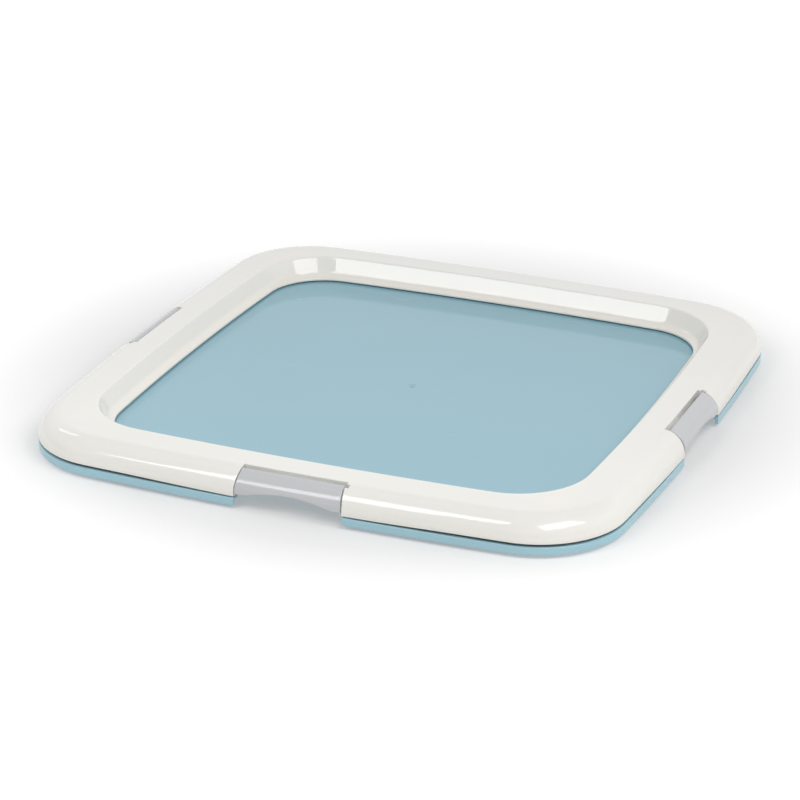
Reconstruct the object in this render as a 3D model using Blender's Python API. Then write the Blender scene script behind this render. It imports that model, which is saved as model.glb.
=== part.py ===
"""Training pad holder: a square tray, a clamping frame that lifts off it,
three swing latches that hold the frame down, and four rubber feet.

Everything is in metres, +Z up.  The origin is on the ground under the middle
of the tray.  The front side is -Y, the right side is +X.
The front, right and left sides have a latch; the back side is plain, and a
tongue on the tray stands between two webs inside the frame there.  Each
feature is made once for the front side and turned by quarter turns.  "Depth"
below means the distance inwards from the outline of the frame, measured at
the middle of a side.
"""
import math

import bmesh
import bpy
from mathutils import Matrix, Vector

MM = 0.001

# ------------------------------------------------------------------ sizes, mm
HALF = 240.0            # middle of a side to the centre of the holder
CORNER_R = 64.0         # corner radius far from the outer edge ...
CORNER_R_EXTRA = 6.0    # ... plus this much at the outer edge itself
CORNER_R_SLOPE = 0.145  # the radius shrinks by this per mm of depth
BOW = 4.8               # how far a side bulges outwards, outer edge
BOW_SLOPE = 0.034

FOOT_DROP = 3.0         # rubber feet below the tray's skirt
FOOT_R = 7.7
FOOT_POS = 168.0        # x and y of a foot
FOOT_SEAT = 2.6         # depth of the foot's socket above the skirt's edge
BOSS_R = 10.5
RIB_PITCH = 84.0        # ribs under the floor, three each way
RIB_REACH = 200.0
RIB_T = 1.8
RIB_H = 3.4
GAP = 0.3               # running gap between pieces

SKIRT_H = 6.2           # tray's outer skirt
SKIRT_T = 2.6
FLOOR_Z = 9.4           # tray floor, upper face
PLATE_T = 2.2
STEP_OUT = 6.8          # the floor steps up from the shoulder ...
STEP_IN = 9.2           # ... between these two depths

FRAME_T = 2.2           # wall of the frame
ROUND_R = 17.4          # rounded outer edge of the frame
ROUND_Z = 9.6           # height of that rounding's centre
TOP_ANGLE = 2.9         # the top rises inwards at this angle
CREST = (38.47, 28.09)  # depth and height where top and inner wall would meet
CREST_R = 2.0
WALL_ANGLE = 63.4
WALL_FOOT_Z = 14.0      # where the inner wall would meet the lip
COVE_R = 8.5            # the inner wall runs out into the lip with this radius
LIP_ANGLE = 18.0
LIP_DEPTH = 49.9
LIP_BOTTOM = 11.3
FRAME_EDGE = 7.4        # lower edge of the frame's outer wall beside a latch
FRAME_EDGE_RISE = 1.8   # it stands this much higher at the corners

LATCH_SIDES = ((0, "front"), (1, "right"), (3, "left"))   # quarter turns from the front
NOTCH_HALF = 43.1       # latch opening in frame and tray, half its width at the bottom
NOTCH_TOP_HALF = 41.4   # and at the frame's top
NOTCH_LEAN_Z = 13.5     # its ends lean in above this height
TRAY_NOTCH_DEPTH = 19.2
NOTCH_DEPTH = 17.4
SLOT_OUT = 10.9         # pocket for the hinge pin at one end of the opening, between
SLOT_IN = 14.6          # these two depths
SLOT_HALF = 44.2
SLOT_LOW = 12.0         # the pocket's floor
WEB_END = 47.4          # far side of the web that the pin turns in
WEB_FOOT = FLOOR_Z + GAP
NOSE = (3.2, 6.4, 9.8)  # each web reaches down in front of the tray's step, between these depths
WALL_LOW = 14.6         # lower edge of the frame's wall behind the latch

HINGE_D = 12.6          # latch hinge axis
HINGE_Z = 23.3
BARREL_R = 2.6
PIN_R = 1.25
BORE_R = 1.45
PIN_END = 45.9
LATCH_GAP = 0.9         # between the latch's ends and those of its opening
LATCH_HALF = NOTCH_HALF - LATCH_GAP
LATCH_SET = 0.25        # latch face lies this much inside the frame's face
LATCH_T = 2.2
ARCH_TOP = 14.2         # finger arch in the latch's lower edge
ARCH_HALF = 34.0
EAR_Z = 9.0
HOOK_X = (29.5, 39.5)   # the two hooks under the latch
HOOK_D = 17.4
HOOK_Z = (10.6, 12.2)
CATCH_TOP = 14.0        # catch wall on the tray
CATCH_HALF = 41.0
TONGUE_HALF = NOTCH_HALF - GAP   # the tray's tongue at the back
CATCH_LIP_D = 15.4
CATCH_LIP_Z = 12.6

SIDE_X = (25.0, 43.6, 60.0, 88.0, 122.0)   # sections along half a side
CORNER_STEPS = 8


# ---------------------------------------------------------------- the outline
def corner_radius(d):
    """Corner radius of the line that runs round the frame at depth d."""
    crest = CREST[0]
    if d <= crest:
        return CORNER_R - CORNER_R_SLOPE * d + CORNER_R_EXTRA * math.exp(-d / 8.0)
    at_crest = CORNER_R - CORNER_R_SLOPE * crest
    return at_crest - (d - crest) * 0.8


def bow(d):
    return BOW - BOW_SLOPE * min(d, CREST[0])


def side_arc(d):
    """Half size, radius of the bowed side, corner radius, corner centre, end angle."""
    a, s, rc = HALF - d, bow(d), corner_radius(d)
    la = a - rc
    ra = (la * la + s * s) / (2 * s)
    p, q = a - ra, ra - rc
    c = (p + math.sqrt(2 * q * q - p * p)) / 2
    return a, ra, rc, c, math.atan2(c, c - p)


def side_sag(d, x):
    """How far the side has drawn in at x along it."""
    _, ra, _, _, _ = side_arc(d)
    return ra - math.sqrt(ra * ra - x * x)


def ring(d):
    """Points of the outline at depth d, anticlockwise from the front side's left end."""
    a, ra, rc, c, t1 = side_arc(d)
    quarter = []
    for x in [-v for v in reversed(SIDE_X)] + [0.0] + list(SIDE_X):
        quarter.append((x, -(a - ra + math.sqrt(ra * ra - x * x))))
    for j in range(CORNER_STEPS + 1):
        t = t1 + (math.pi / 2 - 2 * t1) * j / CORNER_STEPS
        # corner between the front and the right side
        quarter.append((c + rc * math.cos(math.pi / 2 - t),
                        -(c + rc * math.sin(math.pi / 2 - t))))
    pts = []
    for k in range(4):
        for x, y in quarter:
            for _ in range(k):
                x, y = -y, x
            pts.append((x, y))
    return pts


def corner_weight():
    """0 beside the latches, 1 at the corners, for each point of a ring."""
    w = []
    for x in [-v for v in reversed(SIDE_X)] + [0.0] + list(SIDE_X):
        t = min(max((abs(x) - NOTCH_HALF) / 100.0, 0.0), 1.0)
        w.append(t * t * (3 - 2 * t))
    w += [1.0] * (CORNER_STEPS + 1)
    return w * 4


# ------------------------------------------------------------- mesh utilities
def new_object(name, bm, material=None):
    me = bpy.data.meshes.new(name)
    bmesh.ops.recalc_face_normals(bm, faces=bm.faces)
    bm.to_mesh(me)
    bm.free()
    ob = bpy.data.objects.new(name, me)
    bpy.context.scene.collection.objects.link(ob)
    if material:
        me.materials.append(material)
    return ob


def swept(name, loop, weights=None):
    """A closed section, a list of (depth, height, lift at the corners), run round the outline."""
    bm = bmesh.new()
    rows = []
    for d, z, lift in loop:
        pts = ring(d)
        rows.append([bm.verts.new((x * MM, y * MM, (z + (lift * w if weights else 0.0)) * MM))
                     for (x, y), w in zip(pts, weights or [0.0] * len(pts))])
    n = len(rows[0])
    for i in range(len(rows)):
        a, b = rows[i], rows[(i + 1) % len(rows)]
        for j in range(n):
            k = (j + 1) % n
            bm.faces.new((a[j], a[k], b[k], b[j]))
    return new_object(name, bm)


def stacked(name, stack):
    """Rings of (depth, height) from the middle of the upper face to the middle of the lower one."""
    bm = bmesh.new()
    rows = [[bm.verts.new((x * MM, y * MM, z * MM)) for x, y in ring(d)] for d, z in stack]
    n = len(rows[0])
    bm.faces.new(rows[0])
    for a, b in zip(rows, rows[1:]):
        for j in range(n):
            k = (j + 1) % n
            bm.faces.new((a[j], b[j], b[k], a[k]))
    bm.faces.new(list(reversed(rows[-1])))
    return new_object(name, bm)


def front_box(name, x, d, z):
    """A box at the front side: x range, depth range, height range."""
    bm = bmesh.new()
    bmesh.ops.create_cube(bm, size=1.0)
    sx, sy, sz = x[1] - x[0], d[1] - d[0], z[1] - z[0]
    for v in bm.verts:
        v.co = Vector(((x[0] + x[1]) / 2 + v.co.x * sx,
                       -HALF + (d[0] + d[1]) / 2 + v.co.y * sy,
                       (z[0] + z[1]) / 2 + v.co.z * sz)) * MM
    return new_object(name, bm)


def front_prism(name, x, outline):
    """A (depth, height) outline pulled along the front side from x[0] to x[1]."""
    bm = bmesh.new()
    ends = [[bm.verts.new((u * MM, (-HALF + d) * MM, z * MM)) for d, z in outline] for u in x]
    n = len(outline)
    bm.faces.new(ends[0])
    bm.faces.new(list(reversed(ends[1])))
    for j in range(n):
        k = (j + 1) % n
        bm.faces.new((ends[0][j], ends[1][j], ends[1][k], ends[0][k]))
    return new_object(name, bm)


def rod_x(name, x0, x1, r, y, z, sides=12):
    """A round rod along X."""
    bm = bmesh.new()
    bmesh.ops.create_cone(bm, cap_ends=True, segments=sides, radius1=r * MM, radius2=r * MM,
                          depth=(x1 - x0) * MM)
    bm.transform(Matrix.Translation(((x0 + x1) / 2 * MM, y * MM, z * MM))
                 @ Matrix.Rotation(math.pi / 2, 4, 'Y'))
    return new_object(name, bm)


def combine(target, tools, operation):
    """Boolean each tool into the target and drop the tool."""
    for tool in tools:
        mod = target.modifiers.new("cut", 'BOOLEAN')
        mod.operation = operation
        mod.solver = 'EXACT'
        mod.object = tool
        deps = bpy.context.evaluated_depsgraph_get()
        me = bpy.data.meshes.new_from_object(target.evaluated_get(deps))
        target.modifiers.remove(mod)
        old = target.data
        target.data = me
        bpy.data.meshes.remove(old)
        bpy.data.objects.remove(tool, do_unlink=True)


def on_sides(sides, make):
    """Call make(k) for each side and turn what it returns by k quarter turns."""
    out = []
    for k in sides:
        for ob in make(k):
            ob.data.transform(Matrix.Rotation(k * math.pi / 2, 4, 'Z'))
            out.append(ob)
    return out


def finish(ob, name, material, z=0.0, angle=35.0):
    bm = bmesh.new()
    bm.from_mesh(ob.data)
    bmesh.ops.remove_doubles(bm, verts=bm.verts, dist=0.000002)
    bmesh.ops.dissolve_degenerate(bm, edges=bm.edges, dist=0.000002)
    bmesh.ops.recalc_face_normals(bm, faces=bm.faces)
    bm.to_mesh(ob.data)
    bm.free()
    ob.name = name
    ob.data.name = name
    ob.data.materials.clear()
    ob.data.materials.append(material)
    ob.data.shade_smooth()
    ob.data.set_sharp_from_angle(angle=math.radians(angle))
    ob.location.z = z * MM
    return ob


def plastic(name, rgb, roughness):
    mat = bpy.data.materials.new(name)
    mat.use_nodes = True
    bsdf = mat.node_tree.nodes["Principled BSDF"]
    bsdf.inputs["Base Color"].default_value = (*rgb, 1.0)
    bsdf.inputs["Roughness"].default_value = roughness
    bsdf.inputs["Metallic"].default_value = 0.0
    mat.diffuse_color = (*rgb, 1.0)
    return mat


# ------------------------------------------------------------------- sections
def fillet(p0, v, p1, r, steps):
    """Points of the arc of radius r that rounds the corner v between p0 and p1."""
    v, a, b = Vector(v), Vector(p0) - Vector(v), Vector(p1) - Vector(v)
    a.normalize()
    b.normalize()
    half = a.angle(b) / 2
    t1, t2 = v + a * (r / math.tan(half)), v + b * (r / math.tan(half))
    c = v + (a + b).normalized() * (r / math.sin(half))
    a0 = math.atan2((t1 - c).y, (t1 - c).x)
    a1 = math.atan2((t2 - c).y, (t2 - c).x)
    while a1 - a0 > math.pi:
        a1 -= 2 * math.pi
    while a1 - a0 < -math.pi:
        a1 += 2 * math.pi
    return [(c.x + r * math.cos(a0 + (a1 - a0) * i / steps),
             c.y + r * math.sin(a0 + (a1 - a0) * i / steps)) for i in range(steps + 1)]


def round_edge(r, angles, set_in=0.0):
    """Points on the frame's rounded outer edge, r from its centre; 0 is level, 90 is up."""
    return [(ROUND_R - (r - set_in) * math.cos(math.radians(a)),
             ROUND_Z + (r - set_in) * math.sin(math.radians(a))) for a in angles]


TOP_START = 90.0 - TOP_ANGLE
ARC_OUT = [0.0, 8.0, 16.0, 25.0, 34.0, 44.0, 54.0, 65.0, 76.0, TOP_START]
ARC_IN = [TOP_START, 66.0, 44.0, 22.0, 0.0]


def frame_section():
    """The frame's wall, as (depth, height, lift at the corners)."""
    wall_dir = (math.cos(math.radians(WALL_ANGLE)), -math.sin(math.radians(WALL_ANGLE)))
    run = (CREST[1] - WALL_FOOT_Z) / -wall_dir[1]
    wall_foot = (CREST[0] + wall_dir[0] * run, WALL_FOOT_Z)
    lip_end = (LIP_DEPTH, WALL_FOOT_Z - (LIP_DEPTH - wall_foot[0]) * math.tan(math.radians(LIP_ANGLE)))
    outer = [(0.0, FRAME_EDGE)] + round_edge(ROUND_R, ARC_OUT)
    outer += fillet(outer[-1], CREST, wall_foot, CREST_R, 3)
    outer += fillet(CREST, wall_foot, lip_end, COVE_R, 5)
    outer += fillet(wall_foot, lip_end, (LIP_DEPTH, LIP_BOTTOM), 0.9, 2)
    outer += [(LIP_DEPTH, LIP_BOTTOM + 0.3), (LIP_DEPTH - 0.4, LIP_BOTTOM)]
    back = FRAME_T / math.sin(math.radians(WALL_ANGLE))

    def wall_inside(z):
        return CREST[0] + (CREST[1] - z) * math.cos(math.radians(WALL_ANGLE)) / math.sin(
            math.radians(WALL_ANGLE)) - back

    top_t = FRAME_T / math.cos(math.radians(TOP_ANGLE))
    top_in = CREST[1] - top_t - 0.45
    inner = [(wall_inside(LIP_BOTTOM + 1.2) + 1.6, LIP_BOTTOM),
             (wall_inside(12.8), 12.8),
             (wall_inside(top_in - 1.6), top_in - 1.6),
             (wall_inside(top_in) - 1.2, top_in + 0.25)]
    inner += round_edge(ROUND_R - FRAME_T, ARC_IN)
    inner += [(FRAME_T, FRAME_EDGE)]
    loop = [(d, z, 0.0) for d, z in outer + inner]
    loop[0] = (loop[0][0], loop[0][1], FRAME_EDGE_RISE)
    loop[-1] = (loop[-1][0], loop[-1][1], FRAME_EDGE_RISE)
    return loop


def web_outline(d0, d1, low, nose=False):
    """A wall across the frame's channel, from depth d0 to d1, ending inside the frame's wall."""
    mid = ROUND_R - FRAME_T * (0.6 if nose else 0.4)
    top = []
    for i in range(13):
        d = d0 + (d1 - d0) * i / 12
        dx = ROUND_R - d
        if dx > mid * math.cos(math.radians(TOP_START)):
            z = ROUND_Z + math.sqrt(max(mid * mid - dx * dx, 0.0)) if dx < mid else ROUND_Z
        else:
            start = round_edge(mid, [TOP_START])[0]
            z = start[1] + (d - start[0]) * math.tan(math.radians(TOP_ANGLE))
        top.append((d, z))
    foot = [(NOSE[2], low), (NOSE[1], SKIRT_H + GAP), (NOSE[0], SKIRT_H + GAP), (NOSE[0], low)] if nose else []
    return [(d1, low)] + foot + [(d0, low)] + top


# --------------------------------------------------------------------- pieces
def make_tray(material):
    top_ring = SKIRT_H
    under = FLOOR_Z - PLATE_T
    shoulder_under = SKIRT_H - PLATE_T
    tray = stacked("base_tray", [
        (STEP_IN, FLOOR_Z), (STEP_OUT, top_ring), (0.7, top_ring), (0.2, top_ring - 0.2),
        (0.0, top_ring - 0.7), (0.0, 0.0), (SKIRT_T, 0.0), (SKIRT_T, shoulder_under),
        (STEP_OUT + 0.9, shoulder_under), (STEP_IN + 1.6, under)])

    def catch(k):
        half = TONGUE_HALF if k == 2 else CATCH_HALF
        wall = front_box("catch", (-half, half), (TRAY_NOTCH_DEPTH, TRAY_NOTCH_DEPTH + FRAME_T),
                         (under + 0.4, CATCH_TOP))
        if k == 2:
            return [wall]
        lips = [front_box("lip", (s * HOOK_X[0] - 0.8, s * HOOK_X[1] + 0.8) if s > 0
                          else (s * HOOK_X[1] - 0.8, s * HOOK_X[0] + 0.8),
                          (CATCH_LIP_D, TRAY_NOTCH_DEPTH + 1.0), (CATCH_LIP_Z, CATCH_TOP - 0.25))
                for s in (-1, 1)]
        combine(wall, lips, 'UNION')
        return [wall]

    latched = [k for k, _ in LATCH_SIDES]
    combine(tray, on_sides(latched, lambda k: [front_box(
        "notch", (-NOTCH_HALF, NOTCH_HALF), (-8.0, TRAY_NOTCH_DEPTH), (-5.0, 30.0))]), 'DIFFERENCE')
    combine(tray, on_sides(range(4), catch), 'UNION')

    # ribs under the floor, then a socket for each foot
    tools = []
    for off in (-RIB_PITCH, 0.0, RIB_PITCH):
        for turn in (0, 1):
            bm = bmesh.new()
            bmesh.ops.create_cube(bm, size=1.0)
            for v in bm.verts:
                v.co = Vector((v.co.x * 2 * RIB_REACH, off + v.co.y * RIB_T,
                               under + 0.4 + (v.co.z - 0.5) * (RIB_H + 0.4))) * MM
            bm.transform(Matrix.Rotation(turn * math.pi / 2, 4, 'Z'))
            tools.append(new_object("rib", bm))
    combine(tray, tools, 'UNION')
    bosses, seats = [], []
    for sx in (-1, 1):
        for sy in (-1, 1):
            for r, z0, z1, out in ((BOSS_R, 0.6, under + 0.5, bosses),
                                   (FOOT_R + GAP, -2.0, FOOT_SEAT, seats)):
                bm = bmesh.new()
                bmesh.ops.create_cone(bm, cap_ends=True, segments=24, radius1=r * MM,
                                      radius2=r * MM, depth=(z1 - z0) * MM)
                bm.transform(Matrix.Translation((sx * FOOT_POS * MM, sy * FOOT_POS * MM,
                                                 (z0 + z1) / 2 * MM)))
                out.append(new_object("boss", bm))
    combine(tray, bosses, 'UNION')
    combine(tray, seats, 'DIFFERENCE')
    return finish(tray, "base_tray", material, FOOT_DROP)


def notch_half(z):
    """Half the width of the latch opening at height z; its ends lean in near the top."""
    lean = (NOTCH_HALF - NOTCH_TOP_HALF) / (CREST[1] - 1.1 - NOTCH_LEAN_Z)
    return NOTCH_HALF - lean * max(z - NOTCH_LEAN_Z, 0.0)


def notch_tool():
    """The latch opening in the frame."""
    top = notch_half(40.0)
    outline = [(-NOTCH_HALF, -5.0), (NOTCH_HALF, -5.0), (NOTCH_HALF, NOTCH_LEAN_Z), (top, 40.0),
               (-top, 40.0), (-NOTCH_HALF, NOTCH_LEAN_Z)]
    bm = bmesh.new()
    ends = [[bm.verts.new((x * MM, (-HALF + d) * MM, z * MM)) for x, z in outline]
            for d in (-8.0, NOTCH_DEPTH)]
    n = len(outline)
    bm.faces.new(ends[0])
    bm.faces.new(list(reversed(ends[1])))
    for j in range(n):
        k = (j + 1) % n
        bm.faces.new((ends[0][j], ends[1][j], ends[1][k], ends[0][k]))
    return new_object("notch", bm)


def make_frame(material):
    frame = swept("top_frame", frame_section(), corner_weight())

    def walls(k):
        if k == 2:
            return [front_prism("web", sorted((s * NOTCH_HALF, s * (NOTCH_HALF + FRAME_T))),
                                web_outline(FRAME_T * 0.7, TRAY_NOTCH_DEPTH + FRAME_T, WEB_FOOT, True))
                    for s in (-1, 1)]
        out = [front_prism("back_wall", (-SLOT_HALF - 1.1, SLOT_HALF + 1.1),
                           web_outline(NOTCH_DEPTH - 1.0, NOTCH_DEPTH + FRAME_T, WALL_LOW))]
        for s in (-1, 1):
            out.append(front_prism("web", sorted((s * (NOTCH_TOP_HALF - 0.6), s * WEB_END)),
                                   web_outline(FRAME_T * 0.7, NOTCH_DEPTH + 1.2, WEB_FOOT, True)))
        base = out[0]
        combine(base, out[1:], 'UNION')
        return [base]

    combine(frame, on_sides(range(4), walls), 'UNION')

    def cuts(k):
        notch = notch_tool()
        slots = [front_box("slot", (NOTCH_TOP_HALF - 4.0, SLOT_HALF), (SLOT_OUT, SLOT_IN),
                           (SLOT_LOW, 40.0))]
        bores = [rod_x("bore", min(s * (NOTCH_TOP_HALF - 3.0), s * (PIN_END + GAP)),
                       max(s * (NOTCH_TOP_HALF - 3.0), s * (PIN_END + GAP)), BORE_R,
                       -HALF + HINGE_D, HINGE_Z) for s in (-1, 1)]
        return [notch] + slots + bores

    combine(frame, on_sides([k for k, _ in LATCH_SIDES], cuts), 'DIFFERENCE')
    return finish(frame, "top_frame", material, FOOT_DROP)


def arch_height(x):
    """Lower edge of the latch at x: a shallow arch between two ears."""
    if abs(x) >= ARCH_HALF:
        return EAR_Z
    sag = ARCH_TOP - EAR_Z
    r = (ARCH_HALF ** 2 + sag ** 2) / (2 * sag)
    return ARCH_TOP - (r - math.sqrt(r * r - x * x))


def latch_section(low):
    """The latch's section with its lower edge at height low, as (depth, height)."""
    r = ROUND_R - LATCH_SET
    split = 16.0

    def face(z, rad):
        if z <= ROUND_Z:
            return ROUND_R - rad
        return ROUND_R - math.sqrt(rad * rad - (z - ROUND_Z) ** 2)

    outer = [(face(low + (split - low) * i / 3, r), low + (split - low) * i / 3) for i in range(4)]
    a0 = math.degrees(math.asin((split - ROUND_Z) / r))
    turn = math.degrees(math.atan2(HINGE_Z - ROUND_Z, ROUND_R - HINGE_D))
    outer += round_edge(r, [a0 + (turn - a0) * i / 5 for i in range(1, 6)])
    barrel = [(HINGE_D + BARREL_R * math.cos(math.radians(a)), HINGE_Z + BARREL_R * math.sin(math.radians(a)))
              for a in (88, 66, 40, 10, -25, -60, -95, -130, -165)]
    ri = r - LATCH_T
    end = turn - 10.5
    inner = round_edge(ri, [end - (end - a0) * i / 4 for i in range(5)])
    zi = inner[-1][1]
    inner += [(face(zi + (low - zi) * i / 2, ri), zi + (low - zi) * i / 2) for i in (1, 2)]
    return outer + barrel + inner


def make_latch_mesh(material):
    """Built at the front side, then moved so that the hinge axis is the origin."""
    xs = [LATCH_HALF, 38.5, ARCH_HALF, 27.0, 19.0, 10.0]
    xs = [-v for v in xs] + [0.0] + list(reversed(xs))
    bm = bmesh.new()
    rows = []
    for x in xs:
        row = []
        for d, z in latch_section(arch_height(x)):
            t = min(max(d / 9.5, 0.0), 1.0)
            inwards = side_sag(0.0, x) * (1 - t * t * (3 - 2 * t))
            lean = (notch_half(z) - LATCH_GAP) / LATCH_HALF
            row.append(bm.verts.new((x * lean * MM, (-HALF + d + inwards) * MM, z * MM)))
        rows.append(row)
    n = len(rows[0])
    for a, b in zip(rows, rows[1:]):
        for j in range(n):
            k = (j + 1) % n
            bm.faces.new((a[j], b[j], b[k], a[k]))
    bm.faces.new(rows[0])
    bm.faces.new(list(reversed(rows[-1])))
    latch = new_object("latch", bm)
    parts = [rod_x("pin", -PIN_END, PIN_END, PIN_R, -HALF + HINGE_D, HINGE_Z)]
    for s in (-1, 1):
        parts.append(front_box("hook", tuple(sorted((s * HOOK_X[0], s * HOOK_X[1]))),
                               (1.4, HOOK_D), HOOK_Z))
        parts.append(front_prism("rib", tuple(sorted((s * 33.6, s * 35.4))),
                                 [(1.6, 12.0), (9.5, 12.0), (3.6, 17.6), (2.4, 16.0)]))
    combine(latch, parts, 'UNION')
    latch.data.transform(Matrix.Translation((0.0, (HALF - HINGE_D) * MM, -HINGE_Z * MM)))
    finish(latch, "latch", material)
    mesh = latch.data
    bpy.data.objects.remove(latch, do_unlink=True)
    return mesh


def make_foot_mesh(material):
    """A round rubber foot with a soft lower edge, its origin at its lower face."""
    h = FOOT_DROP + FOOT_SEAT - GAP
    profile = [(FOOT_R, h - 0.4), (FOOT_R, 1.2), (FOOT_R - 0.35, 0.35), (FOOT_R - 1.2, 0.0)]
    profile = [(FOOT_R - 0.4, h)] + profile
    bm = bmesh.new()
    n = 24
    rows = [[bm.verts.new((r * MM * math.cos(2 * math.pi * j / n), r * MM * math.sin(2 * math.pi * j / n),
                           z * MM)) for j in range(n)] for r, z in profile]
    bm.faces.new(rows[0])
    bm.faces.new(list(reversed(rows[-1])))
    for a, b in zip(rows, rows[1:]):
        for j in range(n):
            k = (j + 1) % n
            bm.faces.new((a[j], b[j], b[k], a[k]))
    ob = new_object("foot", bm)
    finish(ob, "foot", material)
    mesh = ob.data
    bpy.data.objects.remove(ob, do_unlink=True)
    return mesh


def place(name, mesh, location, turn=0.0):
    ob = bpy.data.objects.new(name, mesh)
    ob.location = location
    ob.rotation_euler = (0.0, 0.0, turn)
    bpy.context.scene.collection.objects.link(ob)
    return ob


def main():
    for ob in list(bpy.data.objects):
        bpy.data.objects.remove(ob, do_unlink=True)

    blue = plastic("tray_blue", (0.381, 0.558, 0.623), 0.18)
    white = plastic("frame_white", (0.855, 0.855, 0.840), 0.16)
    grey = plastic("latch_grey", (0.533, 0.539, 0.552), 0.22)
    rubber = plastic("foot_rubber", (0.060, 0.062, 0.066), 0.75)

    make_tray(blue)
    make_frame(white)
    latch = make_latch_mesh(grey)
    reach = (HALF - HINGE_D) * MM
    for k, side in LATCH_SIDES:
        turn = k * math.pi / 2
        place("latch_" + side, latch,
              (reach * math.sin(turn), -reach * math.cos(turn), (HINGE_Z + FOOT_DROP) * MM), turn)
    foot = make_foot_mesh(rubber)
    for fy, sy in (("front", -1), ("back", 1)):
        for fx, sx in (("left", -1), ("right", 1)):
            place("foot_%s_%s" % (fy, fx), foot, (sx * FOOT_POS * MM, sy * FOOT_POS * MM, 0.0))


main()
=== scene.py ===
"""Training pad holder: fine surfaces, finish, studio light and camera.

Sizes below are in millimetres and heights are measured from the lower edge of
the tray's skirt; everything is lifted by DROP, the part of the rubber feet
that shows under the skirt.  The front side is -Y.  "Depth" is the distance
inwards from the outline, at the middle of a side.
"""
import math

import bmesh
import bpy
from mathutils import Matrix, Vector


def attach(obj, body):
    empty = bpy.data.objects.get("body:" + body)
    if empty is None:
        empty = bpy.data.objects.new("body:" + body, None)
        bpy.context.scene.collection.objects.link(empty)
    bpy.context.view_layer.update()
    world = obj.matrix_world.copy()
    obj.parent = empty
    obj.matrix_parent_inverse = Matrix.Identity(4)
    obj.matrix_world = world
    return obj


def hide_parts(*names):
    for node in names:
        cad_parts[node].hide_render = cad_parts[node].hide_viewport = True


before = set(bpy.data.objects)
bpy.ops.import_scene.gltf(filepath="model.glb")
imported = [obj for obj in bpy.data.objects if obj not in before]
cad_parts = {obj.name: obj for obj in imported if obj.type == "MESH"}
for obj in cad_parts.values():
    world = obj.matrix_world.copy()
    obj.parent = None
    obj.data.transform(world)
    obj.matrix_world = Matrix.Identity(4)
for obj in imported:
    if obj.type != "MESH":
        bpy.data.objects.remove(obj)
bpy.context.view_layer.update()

MM = 0.001
DROP = 3.0

# ------------------------------------------------------------------ sizes, mm
HALF = 239.9995
CORNER_R, CORNER_R_EXTRA, CORNER_R_SLOPE = 64.0, 6.0, 0.145
BOW, BOW_SLOPE = 4.8, 0.034
GAP = 0.3

SKIRT_H, SKIRT_T = 6.2, 2.6
FLOOR_Z, PLATE_T = 9.4, 2.2
STEP_OUT, STEP_IN = 6.8, 9.2

FRAME_T = 2.2
ROUND_R, ROUND_Z = 17.4, 9.6
TOP_ANGLE = 2.9
CREST, CREST_R = (38.47, 28.084), 2.0
WALL_ANGLE, WALL_FOOT_Z, COVE_R = 63.4, 14.0, 8.5
LIP_ANGLE, LIP_DEPTH, LIP_BOTTOM = 18.0, 49.9, 10.7
FRAME_EDGE, FRAME_EDGE_RISE = 7.4, 1.1

NOTCH_HALF, NOTCH_DEPTH = 43.1, 17.4
NOTCH_TOP_HALF, NOTCH_LEAN_Z = 41.4, 13.5
SLOT_OUT, SLOT_IN, SLOT_HALF, SLOT_LOW = 10.9, 14.6, 44.2, 12.0
WEB_END = 47.4
WALL_LOW = 14.6
BACK = NOTCH_DEPTH + FRAME_T
TRAY_NOTCH_DEPTH = 19.2
TRAY_BACK = TRAY_NOTCH_DEPTH + FRAME_T
WEB_FOOT = FLOOR_Z + GAP
NOSE = (3.2, 6.4, 9.8)
PLAIN_SIDE = 2          # quarter turns from the front to the side without a latch

HINGE_D, HINGE_Z, BARREL_R = 12.6, 23.3, 2.6
PIN_R, BORE_R, PIN_END = 1.25, 1.45, 45.9
LATCH_GAP, LATCH_SET, LATCH_T = 0.9, 0.25, 2.2
LATCH_HALF = NOTCH_HALF - LATCH_GAP
LATCH_BEND, LATCH_FACE_R = 42.0, 22.3     # the latch's flatter upper face ends at this angle
ARCH_TOP, ARCH_HALF, EAR_Z = 14.2, 34.0, 9.0
HOOK_X, HOOK_D, HOOK_Z = (29.5, 39.5), 17.4, (10.6, 12.2)
CATCH_TOP, CATCH_HALF = 14.0, 41.0
CATCH_LIP_D, CATCH_LIP_Z = 15.4, 12.6
TONGUE_HALF = NOTCH_HALF - GAP

FOOT_R, FOOT_POS, FOOT_SEAT, BOSS_R = 7.7, 168.0, 2.6, 10.5
RIB_PITCH, RIB_REACH, RIB_T, RIB_H = 84.0, 200.0, 1.8, 3.4

# sections along half a side, then those between the last one and the corner
SIDE = (0.0, 7.0, 14.0, 21.0, 28.7, 34.0, 40.3, 41.0, 42.8, 43.1, 44.2, 45.3, 47.4, 53.0, 60.0, 70.0,
        82.0, 96.0, 112.0, 128.0)
TO_CORNER = (1 / 3, 2 / 3)
CORNER_STEPS = 22


# ---------------------------------------------------------------- the outline
def corner_radius(d):
    if d <= CREST[0]:
        return CORNER_R - CORNER_R_SLOPE * d + CORNER_R_EXTRA * math.exp(-d / 8.0)
    return CORNER_R - CORNER_R_SLOPE * CREST[0] - (d - CREST[0]) * 0.8


def side_arc(d):
    """Half size, radius of the bowed side, corner radius, corner centre, end angle."""
    a, s, rc = HALF - d, BOW - BOW_SLOPE * min(d, CREST[0]), corner_radius(d)
    la = a - rc
    ra = (la * la + s * s) / (2 * s)
    p, q = a - ra, ra - rc
    c = (p + math.sqrt(2 * q * q - p * p)) / 2
    return a, ra, rc, c, math.atan2(c, c - p)


def side_sag(d, x):
    ra = side_arc(d)[1]
    return ra - math.sqrt(ra * ra - x * x)


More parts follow.
